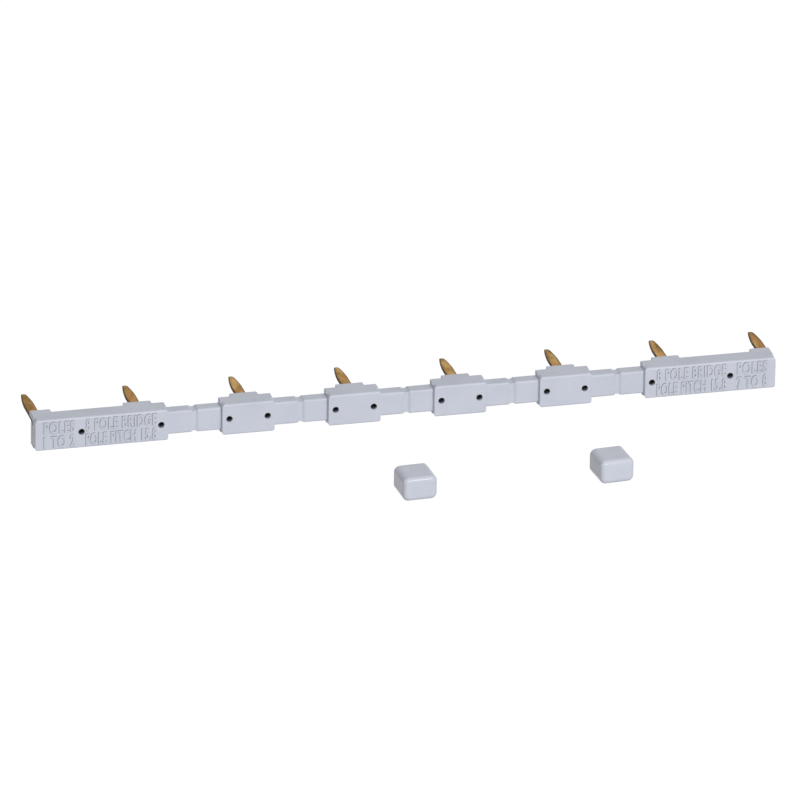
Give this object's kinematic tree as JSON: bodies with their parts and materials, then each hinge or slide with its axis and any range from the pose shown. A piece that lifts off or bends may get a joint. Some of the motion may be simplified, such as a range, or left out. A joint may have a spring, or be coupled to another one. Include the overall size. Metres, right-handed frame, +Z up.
{
  "type": "relay socket jumper",
  "caption": "Comb-shaped jumper bar: flat blade pins on a stamped brass strip in a waisted grey moulding, with loose caps for the end of a shortened comb.",
  "frame": {"origin": "middle of the row of blade pins, where the pins leave the back of the bosses", "axes": "+X along the comb, +Y the way the pins point, +Z up from the undersides of the blocks"},
  "size_m": [0.1106, 0.0407, 0.0048],
  "materials": {
    "plastic": "moulded satin, light cool grey",
    "brass": "plain rolled brass, slightly tarnished"
  },
  "bodies": {
    "root": {"housing": "plastic", "contact_comb": "brass", "end_cap_left": "plastic", "end_cap_right": "plastic"}
  },
  "joints": []
}
